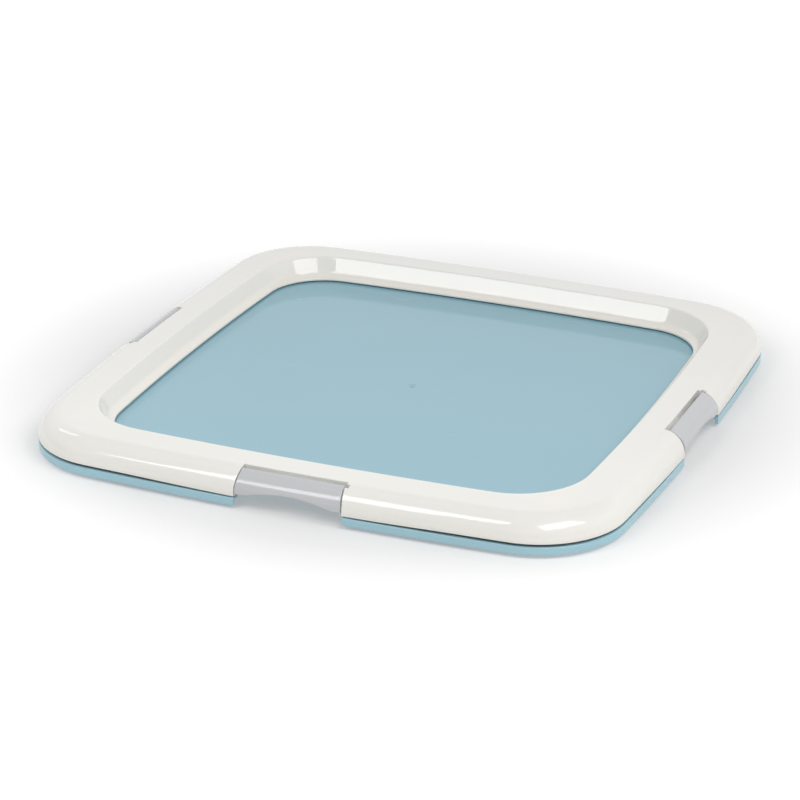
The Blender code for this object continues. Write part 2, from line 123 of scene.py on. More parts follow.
XS = [-v for v in reversed(SIDE[1:])] + list(SIDE)
PER_SIDE = len(XS) + 2 * len(TO_CORNER) + CORNER_STEPS + 1
COUNT = 4 * PER_SIDE
_quarters = {}


def quarter(d):
    """Points of the front side and the corner to its right, at depth d."""
    d = round(d, 5)
    if d in _quarters:
        return _quarters[d]
    a, ra, rc, c, t1 = side_arc(d)

    def on_side(x):
        return (x, -(a - ra + math.sqrt(ra * ra - x * x)))

    x_end = c + rc * math.cos(math.pi / 2 - t1)
    far = SIDE[-1]
    pts = [on_side(-(far + (x_end - far) * f)) for f in reversed(TO_CORNER)]
    pts += [on_side(x) for x in XS]
    pts += [on_side(far + (x_end - far) * f) for f in TO_CORNER]
    for j in range(CORNER_STEPS + 1):
        t = t1 + (math.pi / 2 - 2 * t1) * j / CORNER_STEPS
        pts.append((c + rc * math.cos(math.pi / 2 - t), -(c + rc * math.sin(math.pi / 2 - t))))
    _quarters[d] = pts
    return pts


def station(j, d, squeeze=1.0):
    """The point of the outline at depth d and station j, counted anticlockwise."""
    k, i = divmod(j % COUNT, PER_SIDE)
    x, y = quarter(d)[i]
    x *= squeeze
    for _ in range(k):
        x, y = -y, x
    return x, y


def station_x(j):
    """x along its side of station j, or None in a corner."""
    i = (j % COUNT) % PER_SIDE - len(TO_CORNER)
    return XS[i] if 0 <= i < len(XS) else None


def corner_weight(j):
    """0 beside the latches, 1 at the corners."""
    x = station_x(j)
    if x is None:
        return 1.0
    t = min(max((abs(x) - NOTCH_HALF) / 100.0, 0.0), 1.0)
    return t * t * (3 - 2 * t)


# ------------------------------------------------------------------- sections
def arc_points(cx, cz, r, a0, a1, n):
    return [(cx + r * math.cos(math.radians(a0 + (a1 - a0) * i / n)),
             cz + r * math.sin(math.radians(a0 + (a1 - a0) * i / n))) for i in range(n + 1)]


def fillet(p0, v, p1, r, steps):
    """Points of the arc of radius r that rounds the corner v between p0 and p1."""
    v, a, b = Vector(v), Vector(p0) - Vector(v), Vector(p1) - Vector(v)
    a.normalize()
    b.normalize()
    half = a.angle(b) / 2
    t1, t2 = v + a * (r / math.tan(half)), v + b * (r / math.tan(half))
    c = v + (a + b).normalized() * (r / math.sin(half))
    a0 = math.atan2((t1 - c).y, (t1 - c).x)
    a1 = math.atan2((t2 - c).y, (t2 - c).x)
    while a1 - a0 > math.pi:
        a1 -= 2 * math.pi
    while a1 - a0 < -math.pi:
        a1 += 2 * math.pi
    return [(c.x + r * math.cos(a0 + (a1 - a0) * i / steps),
             c.y + r * math.sin(a0 + (a1 - a0) * i / steps)) for i in range(steps + 1)]


def between(p, q, n):
    """n - 1 points evenly spaced between p and q."""
    return [(p[0] + (q[0] - p[0]) * i / n, p[1] + (q[1] - p[1]) * i / n) for i in range(1, n)]


def round_edge(r, angles):
    return [(ROUND_R - r * math.cos(math.radians(a)), ROUND_Z + r * math.sin(math.radians(a)))
            for a in angles]


TOP_START = 90.0 - TOP_ANGLE
TOP_D0, TOP_Z0 = round_edge(ROUND_R, [TOP_START])[0]


def edge_angle(d=None, z=None):
    """Angle on the rounded outer edge at a depth or at a height."""
    if z is None:
        return math.degrees(math.acos((ROUND_R - d) / ROUND_R))
    return math.degrees(math.asin((z - ROUND_Z) / ROUND_R))


def notch_half(z):
    """Half the width of the latch opening at height z; its ends lean in near the top."""
    lean = (NOTCH_HALF - NOTCH_TOP_HALF) / (CREST[1] - 1.1 - NOTCH_LEAN_Z)
    return NOTCH_HALF - lean * max(z - NOTCH_LEAN_Z, 0.0)


def top_z(d):
    """Height of the frame's outside at depth d."""
    if d < TOP_D0:
        return ROUND_Z + math.sqrt(ROUND_R ** 2 - (ROUND_R - max(d, 0.0)) ** 2)
    return TOP_Z0 + (d - TOP_D0) * math.tan(math.radians(TOP_ANGLE))


def under_z(d):
    """Underside of the frame's top."""
    return top_z(d) - FRAME_T / math.cos(math.radians(TOP_ANGLE))


WALL_DIR = (math.cos(math.radians(WALL_ANGLE)), -math.sin(math.radians(WALL_ANGLE)))
_run = (CREST[1] - WALL_FOOT_Z) / -WALL_DIR[1]
WALL_FOOT = (CREST[0] + WALL_DIR[0] * _run, WALL_FOOT_Z)
LIP_END = (LIP_DEPTH, WALL_FOOT_Z - (LIP_DEPTH - WALL_FOOT[0]) * math.tan(math.radians(LIP_ANGLE)))


def wall_inside(z):
    return (CREST[0] + (CREST[1] - z) / math.tan(math.radians(WALL_ANGLE))
            - FRAME_T / math.sin(math.radians(WALL_ANGLE)))


EDGE_R = 0.6            # rounding of the frame's lower outer edge


def outer_curve():
    """The frame's outside, from its lower edge over the top to the lip."""
    e = FRAME_EDGE
    pts = [(EDGE_R, e), (EDGE_R * 0.5, e + EDGE_R * 0.134), (EDGE_R * 0.134, e + EDGE_R * 0.5),
           (0.0, e + EDGE_R)]
    marks = [edge_angle(z=NOTCH_LEAN_Z), edge_angle(SLOT_OUT), edge_angle(SLOT_IN), TOP_START]
    angles, last = [], 2.6
    for m in marks:
        n = max(round((m - last) / 3.4), 1)
        angles += [last + (m - last) * i / n for i in range(n)]
        last = m
    pts += round_edge(ROUND_R, angles + [TOP_START])
    pts += [(d, top_z(d)) for d in (NOTCH_DEPTH, BACK, 22.0, 25.0, 28.0, 31.0, 34.0, 36.0)]
    crest = fillet((TOP_D0, TOP_Z0), CREST, WALL_FOOT, CREST_R, 10)
    foot = fillet(CREST, WALL_FOOT, LIP_END, COVE_R, 14)
    tip = fillet(WALL_FOOT, LIP_END, (LIP_DEPTH, LIP_BOTTOM), 0.9, 6)
    pts += crest + between(crest[-1], foot[0], 4) + foot + between(foot[-1], tip[0], 2) + tip
    low = fillet(LIP_END, (LIP_DEPTH, LIP_BOTTOM), (LIP_DEPTH - 5, LIP_BOTTOM), 0.3, 3)
    return pts + low


def inner_curve():
    """The frame's inside, from under the lip back to the lower edge."""
    knee = (wall_inside(LIP_BOTTOM) + 0.9, LIP_BOTTOM)
    up = (wall_inside(24.0), 24.0)
    corner_d = CREST[0] - 1.6
    pts = [(48.0, LIP_BOTTOM)]
    pts += fillet((LIP_DEPTH, LIP_BOTTOM), knee, up, 1.2, 4)
    for _ in range(40):                       # where the two inner faces meet
        z = under_z(corner_d)
        corner_d = wall_inside(z)
    turn = fillet(knee, (corner_d, under_z(corner_d)), (TOP_D0, under_z(TOP_D0)), 1.2, 5)
    pts += between(pts[-1], turn[0], 3) + turn
    pts += [(d, under_z(d)) for d in (33.0, 29.0, 25.0, BACK, NOTCH_DEPTH)]
    pts += round_edge(ROUND_R - FRAME_T, [TOP_START + (2.0 - TOP_START) * i / 14 for i in range(15)])
    pts += [(FRAME_T, WEB_FOOT), (FRAME_T, FRAME_EDGE)]
    return pts


OUT, INN = outer_curve(), inner_curve()


def index_of(pts, d, z=None):
    for i, p in enumerate(pts):
        if abs(p[0] - d) < 1e-4 and (z is None or abs(p[1] - z) < 1e-4):
            return i
    raise ValueError("no point at depth %s" % d)


def frame_loops():
    """Closed sections of the frame for each stretch of a side, and the faces between stretches."""
    o_slot, o_in = index_of(OUT, SLOT_OUT), index_of(OUT, SLOT_IN)
    o_notch, o_lean = index_of(OUT, NOTCH_DEPTH), index_of(OUT, round_edge(ROUND_R, [edge_angle(z=NOTCH_LEAN_Z)])[0][0])
    i_back, i_foot = index_of(INN, BACK), index_of(INN, FRAME_T, WEB_FOOT)
    nose = [(NOSE[2], WEB_FOOT), (NOSE[1], SKIRT_H + GAP), (NOSE[0], SKIRT_H + GAP), (NOSE[0], WEB_FOOT)]
    wall = [(BACK, WALL_LOW), (BACK, WEB_FOOT)]
    pocket = [(SLOT_OUT, NOTCH_LEAN_Z), (SLOT_OUT, SLOT_LOW), (SLOT_IN, SLOT_LOW), (SLOT_IN, NOTCH_LEAN_Z)]
    knee = [(NOTCH_DEPTH, NOTCH_LEAN_Z), (NOTCH_DEPTH, WALL_LOW)]
    below = wall + nose + INN[i_foot:]
    plain = OUT + INN
    solid = OUT + INN[:i_back + 1] + below
    web = OUT[:o_slot + 1] + pocket + OUT[o_in:] + INN[:i_back + 1] + below
    notch = OUT[o_notch:] + INN[:i_back + 1] + [(BACK, WALL_LOW), (NOTCH_DEPTH, WALL_LOW)]
    closed_end = [OUT[:o_lean + 1] + knee + below,
                  OUT[o_lean:o_notch + 1] + list(reversed(knee))]
    open_end = [OUT[:o_lean + 1] + pocket + knee + below,
                OUT[o_lean:o_slot + 1] + pocket[:1],
                OUT[o_in:o_notch + 1] + list(reversed(knee)) + pocket[-1:]]
    at_slot = [OUT[o_slot:o_in + 1] + list(reversed(pocket))]
    at_web = [INN[i_back:i_foot + 1] + list(reversed(nose)) + list(reversed(wall))]

    def kind(k, x0, x1):
        if x0 is None or x1 is None:
            return plain
        m = (x0 + x1) / 2
        if k == PLAIN_SIDE:
            return solid if NOTCH_HALF < abs(m) < NOTCH_HALF + FRAME_T else plain
        if abs(m) < NOTCH_HALF:
            return notch
        return web if 0 < m < SLOT_HALF else solid if abs(m) < WEB_END else plain

    def ends(k):
        if k == PLAIN_SIDE:
            return [(s * x, at_web) for x in (NOTCH_HALF, NOTCH_HALF + FRAME_T) for s in (-1, 1)]
        return [(-NOTCH_HALF, closed_end), (NOTCH_HALF, open_end), (SLOT_HALF, at_slot),
                (WEB_END, at_web), (-WEB_END, at_web)]

    return kind, ends


# --------------------------------------------------------------- mesh helpers
def new_object(name, bm):
    me = bpy.data.meshes.new(name)
    bmesh.ops.recalc_face_normals(bm, faces=bm.faces)
    bm.to_mesh(me)
    bm.free()
    ob = bpy.data.objects.new(name, me)
    bpy.context.scene.collection.objects.link(ob)
    return ob


def ring_solid(name, kind, ends, lift=None, inner_rings=None, squeeze=None):
    """A solid that runs round the outline.  Its closed section changes from stretch to stretch, and
    flat faces close the steps between two stretches."""
    bm = bmesh.new()
    seen = {}

    def vert(j, p):
        key = (j % COUNT, round(p[0], 3), round(p[1], 3))
        if key not in seen:
            x, y = station(j, p[0], squeeze(j, p) if squeeze else 1.0)
            z = p[1] + (lift(j, p) if lift else 0.0)
            seen[key] = bm.verts.new((x * MM, y * MM, (z + DROP) * MM))
        return seen[key]

    for j in range(COUNT):
        side = j // PER_SIDE
        loop = kind(side, station_x(j), station_x(j + 1))
        n = len(loop)
        for i in range(n):
            p, q = loop[i], loop[(i + 1) % n]
            if inner_rings and (p, q) in inner_rings:
                continue
            face = [vert(j, p), vert(j + 1, p), vert(j + 1, q), vert(j, q)]
            if len(set(face)) == 4:
                bm.faces.new(face)
        x = station_x(j)
        if x is not None:
            for at, loops in ends(side):
                if abs(x - at) < 1e-6:
                    for loop in loops:
                        bm.faces.new([vert(j, p) for p in loop])
    return bm, seen, vert


def box_mesh(name, lo, hi, turn=0):
    bm = bmesh.new()
    bmesh.ops.create_cube(bm, size=1.0)
    for v in bm.verts:
        v.co = Vector([((lo[i] + hi[i]) / 2 + v.co[i] * (hi[i] - lo[i])) for i in range(3)]) * MM
    bm.transform(Matrix.Rotation(turn * math.pi / 2, 4, 'Z'))
    return new_object(name, bm)


def cylinder(name, centre, axis, r, length, sides):
    bm = bmesh.new()
    bmesh.ops.create_cone(bm, cap_ends=True, segments=sides, radius1=r * MM, radius2=r * MM,
                          depth=length * MM)
    turn = Matrix.Rotation(math.pi / 2, 4, 'Y') if axis == 'X' else Matrix.Rotation(
        math.pi / 2, 4, 'X') if axis == 'Y' else Matrix.Identity(4)
    bm.transform(Matrix.Translation(Vector(centre) * MM) @ turn)
    return new_object(name, bm)


def join(objects, name):
    """One object out of several that don't touch."""
    bm = bmesh.new()
    for ob in objects:
        bm.from_mesh(ob.data)
        bpy.data.objects.remove(ob, do_unlink=True)
    return new_object(name, bm)


def bake(ob):
    """Put what the modifiers make into the mesh itself."""
    deps = bpy.context.evaluated_depsgraph_get()
    me = bpy.data.meshes.new_from_object(ob.evaluated_get(deps), preserve_all_data_layers=True,
                                         depsgraph=deps)
    ob.modifiers.clear()
    old = ob.data
    ob.data = me
    bpy.data.meshes.remove(old)


def combine(target, tool, operation):
    mod = target.modifiers.new("cut", 'BOOLEAN')
    mod.operation = operation
    mod.solver = 'EXACT'
    mod.object = tool
    bake(target)
    bpy.data.objects.remove(tool, do_unlink=True)


def soften(ob, pick, width, segments=3, angle=30.0):
    """Round the convex edges that pick accepts, then give the faces smooth normals."""
    bm = bmesh.new()
    bm.from_mesh(ob.data)
    bmesh.ops.remove_doubles(bm, verts=bm.verts, dist=2e-6)
    weight = bm.edges.layers.float.new("bevel_weight_edge")
    for e in bm.edges:
        if len(e.link_faces) == 2 and e.is_convex and e.calc_face_angle(0.0) > math.radians(angle):
            a, b = e.verts[0].co / MM, e.verts[1].co / MM
            w = pick(a, b, e)
            if w:
                e[weight] = w / width
    bm.to_mesh(ob.data)
    bm.free()
    ob.data.shade_smooth()
    mod = ob.modifiers.new("round", 'BEVEL')
    mod.limit_method = 'WEIGHT'
    mod.offset_type = 'OFFSET'
    mod.width = width * MM
    mod.segments = segments
    mod.use_clamp_overlap = False
    mod.loop_slide = True
    bake(ob)
    ob.data.set_sharp_from_angle(angle=math.radians(angle + 8))
    mod = ob.modifiers.new("normals", 'WEIGHTED_NORMAL')
    mod.mode = 'FACE_AREA'
    mod.weight = 50
    mod.keep_sharp = True
    bake(ob)


def side_frame(co):
    """(along, depth from the flat outline, height, side) of a point, in the frame of the nearest side."""
    x, y, z = co
    for k in range(4):
        if -y >= abs(x) - 1e-6:
            return x, HALF + y, z - DROP, k
        x, y = y, -x
    return x, HALF + y, z - DROP, 0


# ----------------------------------------------------------------- the frame
def make_frame():
    kind, ends = frame_loops()

    def lift(j, p):
        return FRAME_EDGE_RISE * corner_weight(j) if p[1] < FRAME_EDGE + EDGE_R + 0.01 else 0.0

    def squeeze(j, p):
        x = station_x(j)
        if x is None or (j % COUNT) // PER_SIDE == PLAIN_SIDE or abs(x) > NOTCH_HALF + 0.01:
            return 1.0
        return notch_half(p[1]) / NOTCH_HALF if p[0] < NOTCH_DEPTH + 0.01 else 1.0

    bm, _, _ = ring_solid("frame", kind, ends, lift, None, squeeze)
    ob = new_object("top_frame_shell", bm)
    bores = []
    for s in (-1, 1):
        mid, length = s * (PIN_END + GAP + 38.0) / 2, PIN_END + GAP - 38.0
        bores.append(cylinder("bore", (mid, -HALF + HINGE_D, HINGE_Z + DROP), 'X', BORE_R, length, 20))
        bores.append(cylinder("bore", (HALF - HINGE_D, mid, HINGE_Z + DROP), 'Y', BORE_R, length, 20))
        bores.append(cylinder("bore", (-HALF + HINGE_D, mid, HINGE_Z + DROP), 'Y', BORE_R, length, 20))
    combine(ob, join(bores, "bores"), 'DIFFERENCE')

    def pick(a, b, e):
        pa, pb = side_frame(a), side_frame(b)
        m = [(pa[i] + pb[i]) / 2 for i in range(3)]
        if pa[3] == PLAIN_SIDE or abs(m[0]) > SLOT_HALF + 0.3 or m[1] > NOTCH_DEPTH + 0.6:
            return 0.0
        if m[2] < FRAME_EDGE - 0.2:
            return 0.0
        if all(abs(abs(q[0]) - notch_half(q[2])) < 0.02 for q in (pa, pb)):
            # outline of the notch's end face, and the upright edges of the hinge pocket
            return 0.45 if m[1] < NOTCH_DEPTH - 0.02 else 0.0
        if abs(m[2] - top_z(m[1])) < 0.3 and m[1] > SLOT_OUT - 0.3:
            return 0.45
        return 0.0

    soften(ob, pick, 0.45, 3, 25.0)
    return ob


# ------------------------------------------------------------------ the tray
FLOOR_RINGS = 60.0       # from this depth inwards the floor is a net of scaled rings


def tray_loops():
    under = FLOOR_Z - PLATE_T
    rt, rb = 0.6, 0.4
    outside = [(rb, 0.0), (rb * 0.29, rb * 0.29), (0.0, rb), (0.0, 2.0), (0.0, 4.0), (0.0, SKIRT_H - rt),
               (rt * 0.134, SKIRT_H - rt * 0.5), (rt * 0.5, SKIRT_H - rt * 0.134), (rt, SKIRT_H),
               (2.6, SKIRT_H), (4.6, SKIRT_H)]
    outside += fillet((0.0, SKIRT_H), (STEP_OUT, SKIRT_H), (STEP_IN, FLOOR_Z), 0.8, 4)
    outside += fillet((STEP_OUT, SKIRT_H), (STEP_IN, FLOOR_Z), (20.0, FLOOR_Z), 1.0, 4)
    floor = [(d, FLOOR_Z) for d in (13.0, 16.0, TRAY_NOTCH_DEPTH, TRAY_BACK, 27.0, 34.0, 42.0, 50.0, FLOOR_RINGS)]
    below = [(d, under) for d in (FLOOR_RINGS, 50.0, 42.0, 34.0, 27.0, TRAY_BACK, TRAY_NOTCH_DEPTH, 16.0)]
    inside = fillet((20.0, under), (STEP_IN + 1.6, under), (STEP_OUT + 0.9, SKIRT_H - PLATE_T), 0.8, 3)
    inside += fillet((STEP_IN + 1.6, under), (STEP_OUT + 0.9, SKIRT_H - PLATE_T), (0.0, SKIRT_H - PLATE_T), 0.8, 3)
    inside += [(5.0, SKIRT_H - PLATE_T), (SKIRT_T, SKIRT_H - PLATE_T), (SKIRT_T, 2.0), (SKIRT_T, 0.0)]
    n_f = 2                                     # floor[2] is at the notch
    lip_top = CATCH_TOP - 0.25
    full = outside + floor + below + inside
    i_b = index_of(below, TRAY_NOTCH_DEPTH)
    marks = [(TRAY_NOTCH_DEPTH, CATCH_LIP_Z), (TRAY_NOTCH_DEPTH, lip_top)]
    bare = floor[n_f:] + below[:i_b + 1]
    wall = ([(TRAY_NOTCH_DEPTH, FLOOR_Z)] + marks + [(TRAY_NOTCH_DEPTH, CATCH_TOP), (TRAY_BACK, CATCH_TOP)]
            + floor[n_f + 1:] + below[:i_b + 1])
    lip = ([(TRAY_NOTCH_DEPTH, FLOOR_Z), marks[0], (CATCH_LIP_D, CATCH_LIP_Z), (CATCH_LIP_D, lip_top), marks[1],
            (TRAY_NOTCH_DEPTH, CATCH_TOP), (TRAY_BACK, CATCH_TOP)] + floor[n_f + 1:] + below[:i_b + 1])
    tongue = (outside + floor[:n_f + 1] + [(TRAY_NOTCH_DEPTH, CATCH_TOP), (TRAY_BACK, CATCH_TOP)] + floor[n_f + 1:]
              + below + inside)
    at_tongue = [[(TRAY_NOTCH_DEPTH, FLOOR_Z), (TRAY_NOTCH_DEPTH, CATCH_TOP), (TRAY_BACK, CATCH_TOP), (TRAY_BACK, FLOOR_Z)]]
    at_notch = [outside + floor[:n_f + 1] + below[i_b:] + inside]
    at_wall = [[(TRAY_NOTCH_DEPTH, FLOOR_Z)] + marks + [(TRAY_NOTCH_DEPTH, CATCH_TOP), (TRAY_BACK, CATCH_TOP),
                                                    (TRAY_BACK, FLOOR_Z)]]
    at_lip = [[marks[0], (CATCH_LIP_D, CATCH_LIP_Z), (CATCH_LIP_D, lip_top), marks[1]]]
    lip_x = (HOOK_X[0] - 0.8, HOOK_X[1] + 0.8)

    def kind(k, x0, x1):
        if x0 is None or x1 is None:
            return full
        m = abs(x0 + x1) / 2
        if k == PLAIN_SIDE:
            return tongue if m < TONGUE_HALF else full
        if m > NOTCH_HALF:
            return full
        if m > CATCH_HALF:
            return bare
        return lip if lip_x[0] < m < lip_x[1] else wall

    def ends(k):
        if k == PLAIN_SIDE:
            steps = [(TONGUE_HALF, at_tongue)]
        else:
            steps = [(NOTCH_HALF, at_notch), (CATCH_HALF, at_wall), (lip_x[0], at_lip), (lip_x[1], at_lip)]
        return [(s * x, loops) for x, loops in steps for s in (-1, 1)]

    skip = {((FLOOR_RINGS, FLOOR_Z), (FLOOR_RINGS, under))}
    return kind, ends, skip


def floor_swell(x, y):
    """The moulded floor isn't quite flat: a few hundredths of a millimetre of slow waves."""
    r = math.hypot(x, y)
    fade = max(0.0, 1.0 - (r / 178.0) ** 6)
    return fade * (0.05 * math.sin(x / 61.0 + 0.7) * math.cos(y / 53.0 - 0.4)
                   + 0.03 * math.sin((x + y) / 37.0) * math.cos((x - 0.6 * y) / 71.0 + 1.1))


GATE = [(9.0, 0.0), (5.2, 0.0), (3.9, -0.02), (3.2, -0.10), (2.75, -0.28), (2.35, -0.30), (2.1, -0.22),
        (1.85, 0.10), (1.55, 0.22), (0.9, 0.26), (0.35, 0.27)]


def make_tray():
    kind, ends, skip = tray_loops()
    under = FLOOR_Z - PLATE_T
    bm, seen, vert = ring_solid("tray", kind, ends, None, skip)
    # floor: rings that shrink to the middle, where the moulding's gate mark sits
    base = [station(j, FLOOR_RINGS) for j in range(COUNT)]
    rows = [[vert(j, (FLOOR_RINGS, FLOOR_Z)) for j in range(COUNT)]]
    steps = 22
    for i in range(1, steps + 1):
        s = 1.0 - (1.0 - 0.06) * i / steps
        row = []
        for x, y in base:
            x, y = x * s, y * s
            blend = i / steps                    # from the outline's shape to a circle
            r, t = math.hypot(x, y), math.atan2(y, x)
            rr = r + (180.0 * s - r) * blend ** 3
            x, y = rr * math.cos(t), rr * math.sin(t)
            row.append(bm.verts.new((x * MM, y * MM, (FLOOR_Z + floor_swell(x, y) + DROP) * MM)))
        rows.append(row)
    for r, dz in GATE:
        row = []
        for x, y in base:
            t = math.atan2(y, x)
            x, y = r * math.cos(t), r * math.sin(t)
            row.append(bm.verts.new((x * MM, y * MM, (FLOOR_Z + floor_swell(x, y) + dz + DROP) * MM)))
        rows.append(row)
    for a, b in zip(rows, rows[1:]):
        for j in range(COUNT):
            k = (j + 1) % COUNT
            bm.faces.new((a[j], a[k], b[k], b[j]))
    bm.faces.new(rows[-1])
    bm.faces.new([vert(j, (FLOOR_RINGS, under)) for j in range(COUNT)])
    tray = new_object("base_tray_shell", bm)

    # the underside: ribs, then a boss with a socket for each foot
    for off in (-RIB_PITCH, 0.0, RIB_PITCH):
        for turn in (0, 1):
            rib = box_mesh("rib", (-RIB_REACH, off - RIB_T / 2, under - RIB_H + DROP),
                           (RIB_REACH, off + RIB_T / 2, under + 0.4 + DROP), turn)
            combine(tray, rib, 'UNION')
    bosses, seats = [], []
    for sx in (-1, 1):
        for sy in (-1, 1):
            at = (sx * FOOT_POS, sy * FOOT_POS)
            bosses.append(cylinder("boss", (*at, (0.6 + under + 0.5) / 2 + DROP), 'Z', BOSS_R,
                                   under - 0.1, 64))
            seats.append(cylinder("seat", (*at, (FOOT_SEAT - 2.0) / 2 + DROP), 'Z', FOOT_R + GAP,
                                  FOOT_SEAT + 2.0, 64))
    combine(tray, join(bosses, "bosses"), 'UNION')
    combine(tray, join(seats, "seats"), 'DIFFERENCE')

    def pick(a, b, e):
        pa, pb = side_frame(a), side_frame(b)
        m = [(pa[i] + pb[i]) / 2 for i in range(3)]
        if pa[3] == PLAIN_SIDE:
            return 0.0
        if abs(pa[0] - pb[0]) < 0.01 and abs(abs(m[0]) - NOTCH_HALF) < 0.01 and m[1] < TRAY_NOTCH_DEPTH - 0.02:
            return 0.35
        if m[1] < TRAY_BACK + 0.1 and abs(m[0]) < CATCH_HALF + 0.1 and m[2] > FLOOR_Z + 0.5:
            return 0.3
        if abs(m[0]) < NOTCH_HALF and abs(m[1] - TRAY_NOTCH_DEPTH) < 0.5 and m[2] < under + 0.1:
            return 0.3
        return 0.0

    soften(tray, pick, 0.35, 3, 30.0)
    return tray


# ------------------------------------------------------------------- a latch
def arch_height(x):
    """Lower edge of the latch at x: a shallow arch that runs out softly into two ears."""
    sag = ARCH_TOP - EAR_Z
    r = (ARCH_HALF ** 2 + sag ** 2) / (2 * sag)

    def plain(u):
        return EAR_Z if abs(u) >= ARCH_HALF else ARCH_TOP - (r - math.sqrt(r * r - u * u))

    soft = 3.5
    n = 8
    return sum(plain(x + soft * (2 * i / n - 1)) for i in range(n + 1)) / (n + 1)


def latch_face():
    """Centres and radii of the latch's upper face and of the bend below it, and where the face starts."""
    r = ROUND_R - LATCH_SET
    turn = math.atan2(HINGE_Z - ROUND_Z, ROUND_R - HINGE_D)
    top = (ROUND_R - r * math.cos(turn), ROUND_Z + r * math.sin(turn))
    upper = (top[0] + LATCH_FACE_R * math.cos(turn), top[1] - LATCH_FACE_R * math.sin(turn))
    bend = math.radians(LATCH_BEND)
    meet = (upper[0] - LATCH_FACE_R * math.cos(bend), upper[1] + LATCH_FACE_R * math.sin(bend))
    r2 = (meet[0] - LATCH_SET) / (1.0 - math.cos(bend))
    lower = (meet[0] + r2 * math.cos(bend), meet[1] - r2 * math.sin(bend))
    return upper, LATCH_FACE_R, lower, r2, math.degrees(turn)


def latch_section(low):
    upper, r1, lower, r2, turn = latch_face()

    def arc(centre, rad, a):
        a = math.radians(a)
        return centre[0] - rad * math.cos(a), centre[1] + rad * math.sin(a)

    def face(z, inset):
        if z <= lower[1]:
            return LATCH_SET + inset
        return lower[0] - math.sqrt((r2 - inset) ** 2 - (z - lower[1]) ** 2)

    r_out, r_in, start = 1.3, 0.45, 22.0
    pts = []
    # lower edge, then the face
    cz = low + r_out
    cx = face(cz, 0.0) + r_out
    pts += [(cx + r_out * math.cos(math.radians(a)), cz + r_out * math.sin(math.radians(a)))
            for a in (270, 255, 240, 225, 210, 195)]
    split = arc(lower, r2, start)[1]
    for i in range(6):
        z = cz + (split - cz) * i / 6
        pts.append((face(z, 0.0), z))
    pts += [arc(lower, r2, start + (LATCH_BEND - start) * i / 7) for i in range(7)]
    # the face runs on into the hinge barrel, which lies just inside it
    pts += [arc(upper, r1, LATCH_BEND + (turn - LATCH_BEND) * i / 10) for i in range(10)]
    pts += arc_points(HINGE_D, HINGE_Z, BARREL_R, 180.0 - turn, -163.0, 20)
    end = turn - 8.5
    pts += [arc(upper, r1 - LATCH_T, end - (end - LATCH_BEND) * i / 5) for i in range(5)]
    pts += [arc(lower, r2 - LATCH_T, LATCH_BEND - (LATCH_BEND - start) * i / 4) for i in range(5)]
    zi = arc(lower, r2 - LATCH_T, start)[1]
    bottom = low + r_in
    for i in (1, 2, 3, 4):
        z = zi + (bottom - zi) * i / 4
        pts.append((face(z, LATCH_T), z))
    cxi = face(bottom, LATCH_T) - r_in
    pts += [(cxi + r_in * math.cos(math.radians(a)), bottom + r_in * math.sin(math.radians(a)))
            for a in (-30, -60, -90)]
    return pts


def make_latch():
    """Built at the front side, in place."""
    half = [1.5, 3, 6, 9, 12, 15, 18, 21, 24, 27, 29, 31, 33, 35, 37, 39.0, 40.8, LATCH_HALF]
    xs = [-v for v in reversed(half)] + [0.0] + half
    bm = bmesh.new()
    rows = []
    for x in xs:
        row = []
        for d, z in latch_section(arch_height(x)):
            t = min(max(d / 9.5, 0.0), 1.0)
            inwards = side_sag(0.0, x) * (1 - t * t * (3 - 2 * t))
            lean = (notch_half(z) - LATCH_GAP) / LATCH_HALF
            row.append(bm.verts.new((x * lean * MM, (-HALF + d + inwards) * MM, (z + DROP) * MM)))
        rows.append(row)
    n = len(rows[0])
    for a, b in zip(rows, rows[1:]):
        for j in range(n):
            k = (j + 1) % n
            bm.faces.new((a[j], b[j], b[k], a[k]))
    bm.faces.new(rows[0])
    bm.faces.new(list(reversed(rows[-1])))
    latch = new_object("latch", bm)
    combine(latch, cylinder("pin", (0.0, -HALF + HINGE_D, HINGE_Z + DROP), 'X', PIN_R, 2 * PIN_END, 32),
            'UNION')
    for s in (-1, 1):
        x0, x1 = sorted((s * HOOK_X[0], s * HOOK_X[1]))
        combine(latch, box_mesh("hook", (x0, -HALF + 1.4, HOOK_Z[0] + DROP),
                                (x1, -HALF + HOOK_D, HOOK_Z[1] + DROP)), 'UNION')
        x0, x1 = sorted((s * 33.6, s * 35.4))
        bm = bmesh.new()
        outline = [(1.6, 12.0), (9.5, 12.0), (2.9, 17.4), (1.9, 16.0)]
        ends = [[bm.verts.new((u * MM, (-HALF + d) * MM, (z + DROP) * MM)) for d, z in outline]
                for u in (x0, x1)]
        bm.faces.new(ends[0])
        bm.faces.new(list(reversed(ends[1])))
        for j in range(4):
            k = (j + 1) % 4
            bm.faces.new((ends[0][j], ends[1][j], ends[1][k], ends[0][k]))
        combine(latch, new_object("rib", bm), 'UNION')

    def pick(a, b, e):
        if all(abs(abs(q.x) - notch_half(q.z - DROP) + LATCH_GAP) < 0.02 for q in (a, b)):
            return 0.35
        if abs(abs(a.x) - PIN_END) < 0.01 and abs(abs(b.x) - PIN_END) < 0.01:
            return 0.3
        if min(a.y, b.y) > -HALF + HOOK_D - 0.1 and max(a.z, b.z) < HOOK_Z[1] + DROP + 0.1:
            return 0.35
        return 0.0

    soften(latch, pick, 0.35, 3, 30.0)
    return latch


